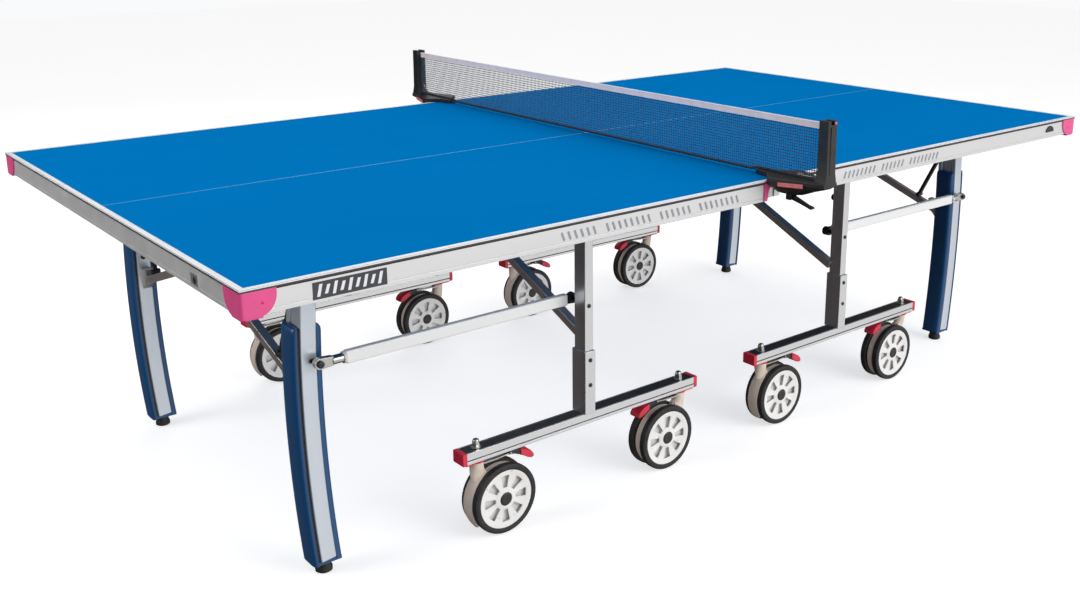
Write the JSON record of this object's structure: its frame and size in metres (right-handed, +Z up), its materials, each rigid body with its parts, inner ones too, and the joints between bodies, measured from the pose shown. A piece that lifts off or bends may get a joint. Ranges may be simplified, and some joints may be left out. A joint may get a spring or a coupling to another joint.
{
  "type": "folding table tennis table",
  "caption": "Outdoor roll-away table tennis table in two folding halves on twin-wheel castors, with bowed legs, link bars, post frames and a clamp-on net.",
  "frame": {"origin": "on the floor under the middle of the net", "axes": "+X along the table towards half b, +Y across it to the far side, +Z up"},
  "size_m": [2.74, 1.829, 0.92],
  "materials": {
    "playing_surface": "weatherproof laminate, low sheen, fine grain",
    "apron_silver": "satin",
    "frame_silver": "satin galvanised",
    "axle_steel": "plain",
    "corner_pink": "moulded, soft gloss",
    "castor_cream": "moulded",
    "tyre_black": "matt rubber",
    "pedal_red": "moulded",
    "leg_blue": "moulded, soft sheen",
    "foot_black": "moulded",
    "link_white": "satin powder coat",
    "net_mesh": "open mesh",
    "net_black": "moulded, fine texture",
    "white_trim": "white paint, tape and wheel discs"
  },
  "bodies": {
    "carriage_a": {"t_base_near_a": "frame_silver", "t_base_far_a": "frame_silver", "post_frame_a": "frame_silver", "fold_axle_a": "axle_steel"},
    "top_a": {"top_panel_a": "playing_surface", "apron_frame_a": "apron_silver", "corner_cap_near_a": "corner_pink", "corner_cap_far_a": "corner_pink"},
    "leg_a": {"leg_frame_a": "frame_silver", "leg_cover_near_a": "leg_blue", "leg_cover_far_a": "leg_blue"},
    "link_near_a": {"link_bar_near_a": "link_white"},
    "foot_near_a": {"levelling_foot_near_a": "foot_black"},
    "swivel_near_outer_a": {"castor_housing_near_outer_a": "castor_cream"},
    "wheels_near_outer_a": {"castor_wheels_near_outer_a": "tyre_black"},
    "pedal_near_outer_a": {"brake_pedal_near_outer_a": "pedal_red"},
    "swivel_near_inner_a": {"castor_housing_near_inner_a": "castor_cream"},
    "wheels_near_inner_a": {"castor_wheels_near_inner_a": "tyre_black"},
    "pedal_near_inner_a": {"brake_pedal_near_inner_a": "pedal_red"},
    "link_far_a": {"link_bar_far_a": "link_white"},
    "foot_far_a": {"levelling_foot_far_a": "foot_black"},
    "swivel_far_outer_a": {"castor_housing_far_outer_a": "castor_cream"},
    "wheels_far_outer_a": {"castor_wheels_far_outer_a": "tyre_black"},
    "pedal_far_outer_a": {"brake_pedal_far_outer_a": "pedal_red"},
    "swivel_far_inner_a": {"castor_housing_far_inner_a": "castor_cream"},
    "wheels_far_inner_a": {"castor_wheels_far_inner_a": "tyre_black"},
    "pedal_far_inner_a": {"brake_pedal_far_inner_a": "pedal_red"},
    "carriage_b": {"t_base_near_b": "frame_silver", "t_base_far_b": "frame_silver", "post_frame_b": "frame_silver", "fold_axle_b": "axle_steel"},
    "top_b": {"top_panel_b": "playing_surface", "apron_frame_b": "apron_silver", "corner_cap_near_b": "corner_pink", "corner_cap_far_b": "corner_pink"},
    "leg_b": {"leg_frame_b": "frame_silver", "leg_cover_near_b": "leg_blue", "leg_cover_far_b": "leg_blue"},
    "link_near_b": {"link_bar_near_b": "link_white"},
    "foot_near_b": {"levelling_foot_near_b": "foot_black"},
    "swivel_near_outer_b": {"castor_housing_near_outer_b": "castor_cream"},
    "wheels_near_outer_b": {"castor_wheels_near_outer_b": "tyre_black"},
    "pedal_near_outer_b": {"brake_pedal_near_outer_b": "pedal_red"},
    "swivel_near_inner_b": {"castor_housing_near_inner_b": "castor_cream"},
    "wheels_near_inner_b": {"castor_wheels_near_inner_b": "tyre_black"},
    "pedal_near_inner_b": {"brake_pedal_near_inner_b": "pedal_red"},
    "link_far_b": {"link_bar_far_b": "link_white"},
    "foot_far_b": {"levelling_foot_far_b": "foot_black"},
    "swivel_far_outer_b": {"castor_housing_far_outer_b": "castor_cream"},
    "wheels_far_outer_b": {"castor_wheels_far_outer_b": "tyre_black"},
    "pedal_far_outer_b": {"brake_pedal_far_outer_b": "pedal_red"},
    "swivel_far_inner_b": {"castor_housing_far_inner_b": "castor_cream"},
    "wheels_far_inner_b": {"castor_wheels_far_inner_b": "tyre_black"},
    "pedal_far_inner_b": {"brake_pedal_far_inner_b": "pedal_red"},
    "net_set": {"net": "net_mesh", "net_post_near": "net_black", "net_post_far": "net_black"},
    "lever_near": {"clip_lever_near": "net_black"},
    "lever_far": {"clip_lever_far": "net_black"}
  },
  "joints": [
    {"name": "fold_a", "type": "hinge", "parent": "carriage_a", "child": "top_a", "pos_m": [-0.467, 0, 0.695], "axis": [0, 1, 0], "range_deg": [0, 83]},
    {"name": "leg_fold_a", "type": "hinge", "parent": "top_a", "child": "leg_a", "pos_m": [-1.125, 0, 0.695], "axis": [0, 1, 0], "range_deg": [-83, 0]},
    {"name": "link_swing_near_a", "type": "hinge", "parent": "carriage_a", "child": "link_near_a", "pos_m": [-0.467, -0.5375, 0.497], "axis": [0, 1, 0], "range_deg": [0, 83]},
    {"name": "foot_screw_near_a", "type": "slide", "parent": "leg_a", "child": "foot_near_a", "axis": [0, 0, -1], "range_m": [0, 0.012]},
    {"name": "castor_swivel_near_outer_a", "type": "hinge", "parent": "carriage_a", "child": "swivel_near_outer_a", "pos_m": [-0.779, -0.579, 0.166], "axis": [0, 0, 1], "continuous": true},
    {"name": "wheel_spin_near_outer_a", "type": "hinge", "parent": "swivel_near_outer_a", "child": "wheels_near_outer_a", "pos_m": [-0.719, -0.579, 0.0845], "axis": [0, 1, 0], "continuous": true},
    {"name": "brake_tip_near_outer_a", "type": "hinge", "parent": "swivel_near_outer_a", "child": "pedal_near_outer_a", "pos_m": [-0.694, -0.579, 0.1868], "axis": [0, 1, 0], "range_deg": [0, 10]},
    {"name": "castor_swivel_near_inner_a", "type": "hinge", "parent": "carriage_a", "child": "swivel_near_inner_a", "pos_m": [-0.155, -0.579, 0.166], "axis": [0, 0, 1], "continuous": true},
    {"name": "wheel_spin_near_inner_a", "type": "hinge", "parent": "swivel_near_inner_a", "child": "wheels_near_inner_a", "pos_m": [-0.215, -0.579, 0.0845], "axis": [0, 1, 0], "continuous": true},
    {"name": "brake_tip_near_inner_a", "type": "hinge", "parent": "swivel_near_inner_a", "child": "pedal_near_inner_a", "pos_m": [-0.24, -0.579, 0.1868], "axis": [0, -1, 0], "range_deg": [0, 10]},
    {"name": "link_swing_far_a", "type": "hinge", "parent": "carriage_a", "child": "link_far_a", "pos_m": [-0.467, 0.5375, 0.497], "axis": [0, 1, 0], "range_deg": [0, 83]},
    {"name": "foot_screw_far_a", "type": "slide", "parent": "leg_a", "child": "foot_far_a", "axis": [0, 0, -1], "range_m": [0, 0.012]},
    {"name": "castor_swivel_far_outer_a", "type": "hinge", "parent": "carriage_a", "child": "swivel_far_outer_a", "pos_m": [-0.779, 0.579, 0.166], "axis": [0, 0, 1], "continuous": true},
    {"name": "wheel_spin_far_outer_a", "type": "hinge", "parent": "swivel_far_outer_a", "child": "wheels_far_outer_a", "pos_m": [-0.719, 0.579, 0.0845], "axis": [0, 1, 0], "continuous": true},
    {"name": "brake_tip_far_outer_a", "type": "hinge", "parent": "swivel_far_outer_a", "child": "pedal_far_outer_a", "pos_m": [-0.694, 0.579, 0.1868], "axis": [0, 1, 0], "range_deg": [0, 10]},
    {"name": "castor_swivel_far_inner_a", "type": "hinge", "parent": "carriage_a", "child": "swivel_far_inner_a", "pos_m": [-0.155, 0.579, 0.166], "axis": [0, 0, 1], "continuous": true},
    {"name": "wheel_spin_far_inner_a", "type": "hinge", "parent": "swivel_far_inner_a", "child": "wheels_far_inner_a", "pos_m": [-0.215, 0.579, 0.0845], "axis": [0, 1, 0], "continuous": true},
    {"name": "brake_tip_far_inner_a", "type": "hinge", "parent": "swivel_far_inner_a", "child": "pedal_far_inner_a", "pos_m": [-0.24, 0.579, 0.1868], "axis": [0, -1, 0], "range_deg": [0, 10]},
    {"name": "halves_apart", "type": "slide", "parent": "carriage_a", "child": "carriage_b", "axis": [1, 0, 0], "range_m": [0, 0.6]},
    {"name": "fold_b", "type": "hinge", "parent": "carriage_b", "child": "top_b", "pos_m": [0.467, 0, 0.695], "axis": [0, -1, 0], "range_deg": [0, 83]},
    {"name": "leg_fold_b", "type": "hinge", "parent": "top_b", "child": "leg_b", "pos_m": [1.125, 0, 0.695], "axis": [0, -1, 0], "range_deg": [-83, 0]},
    {"name": "link_swing_near_b", "type": "hinge", "parent": "carriage_b", "child": "link_near_b", "pos_m": [0.467, -0.5375, 0.497], "axis": [0, -1, 0], "range_deg": [0, 83]},
    {"name": "foot_screw_near_b", "type": "slide", "parent": "leg_b", "child": "foot_near_b", "axis": [0, 0, -1], "range_m": [0, 0.012]},
    {"name": "castor_swivel_near_outer_b", "type": "hinge", "parent": "carriage_b", "child": "swivel_near_outer_b", "pos_m": [0.779, -0.579, 0.166], "axis": [0, 0, 1], "continuous": true},
    {"name": "wheel_spin_near_outer_b", "type": "hinge", "parent": "swivel_near_outer_b", "child": "wheels_near_outer_b", "pos_m": [0.719, -0.579, 0.0845], "axis": [0, 1, 0], "continuous": true},
    {"name": "brake_tip_near_outer_b", "type": "hinge", "parent": "swivel_near_outer_b", "child": "pedal_near_outer_b", "pos_m": [0.694, -0.579, 0.1868], "axis": [0, -1, 0], "range_deg": [0, 10]},
    {"name": "castor_swivel_near_inner_b", "type": "hinge", "parent": "carriage_b", "child": "swivel_near_inner_b", "pos_m": [0.155, -0.579, 0.166], "axis": [0, 0, 1], "continuous": true},
    {"name": "wheel_spin_near_inner_b", "type": "hinge", "parent": "swivel_near_inner_b", "child": "wheels_near_inner_b", "pos_m": [0.215, -0.579, 0.0845], "axis": [0, 1, 0], "continuous": true},
    {"name": "brake_tip_near_inner_b", "type": "hinge", "parent": "swivel_near_inner_b", "child": "pedal_near_inner_b", "pos_m": [0.24, -0.579, 0.1868], "axis": [0, 1, 0], "range_deg": [0, 10]},
    {"name": "link_swing_far_b", "type": "hinge", "parent": "carriage_b", "child": "link_far_b", "pos_m": [0.467, 0.5375, 0.497], "axis": [0, -1, 0], "range_deg": [0, 83]},
    {"name": "foot_screw_far_b", "type": "slide", "parent": "leg_b", "child": "foot_far_b", "axis": [0, 0, -1], "range_m": [0, 0.012]},
    {"name": "castor_swivel_far_outer_b", "type": "hinge", "parent": "carriage_b", "child": "swivel_far_outer_b", "pos_m": [0.779, 0.579, 0.166], "axis": [0, 0, 1], "continuous": true},
    {"name": "wheel_spin_far_outer_b", "type": "hinge", "parent": "swivel_far_outer_b", "child": "wheels_far_outer_b", "pos_m": [0.719, 0.579, 0.0845], "axis": [0, 1, 0], "continuous": true},
    {"name": "brake_tip_far_outer_b", "type": "hinge", "parent": "swivel_far_outer_b", "child": "pedal_far_outer_b", "pos_m": [0.694, 0.579, 0.1868], "axis": [0, -1, 0], "range_deg": [0, 10]},
    {"name": "castor_swivel_far_inner_b", "type": "hinge", "parent": "carriage_b", "child": "swivel_far_inner_b", "pos_m": [0.155, 0.579, 0.166], "axis": [0, 0, 1], "continuous": true},
    {"name": "wheel_spin_far_inner_b", "type": "hinge", "parent": "swivel_far_inner_b", "child": "wheels_far_inner_b", "pos_m": [0.215, 0.579, 0.0845], "axis": [0, 1, 0], "continuous": true},
    {"name": "brake_tip_far_inner_b", "type": "hinge", "parent": "swivel_far_inner_b", "child": "pedal_far_inner_b", "pos_m": [0.24, 0.579, 0.1868], "axis": [0, 1, 0], "range_deg": [0, 10]},
    {"name": "net_lift_off", "type": "slide", "parent": "carriage_a", "child": "net_set", "axis": [0, 0, 1], "range_m": [0, 0.25]},
    {"name": "clip_near", "type": "hinge", "parent": "net_set", "child": "lever_near", "pos_m": [0, -0.797, 0.7215], "axis": [1, 0, 0], "range_deg": [0, 35]},
    {"name": "clip_far", "type": "hinge", "parent": "net_set", "child": "lever_far", "pos_m": [0, 0.797, 0.7215], "axis": [-1, 0, 0], "range_deg": [0, 35]}
  ],
  "couplings": [
    {"joint": "leg_fold_a", "follows": "fold_a", "ratio": -1},
    {"joint": "link_swing_near_a", "follows": "fold_a", "ratio": 1},
    {"joint": "link_swing_far_a", "follows": "fold_a", "ratio": 1},
    {"joint": "leg_fold_b", "follows": "fold_b", "ratio": -1},
    {"joint": "link_swing_near_b", "follows": "fold_b", "ratio": 1},
    {"joint": "link_swing_far_b", "follows": "fold_b", "ratio": 1}
  ]
}
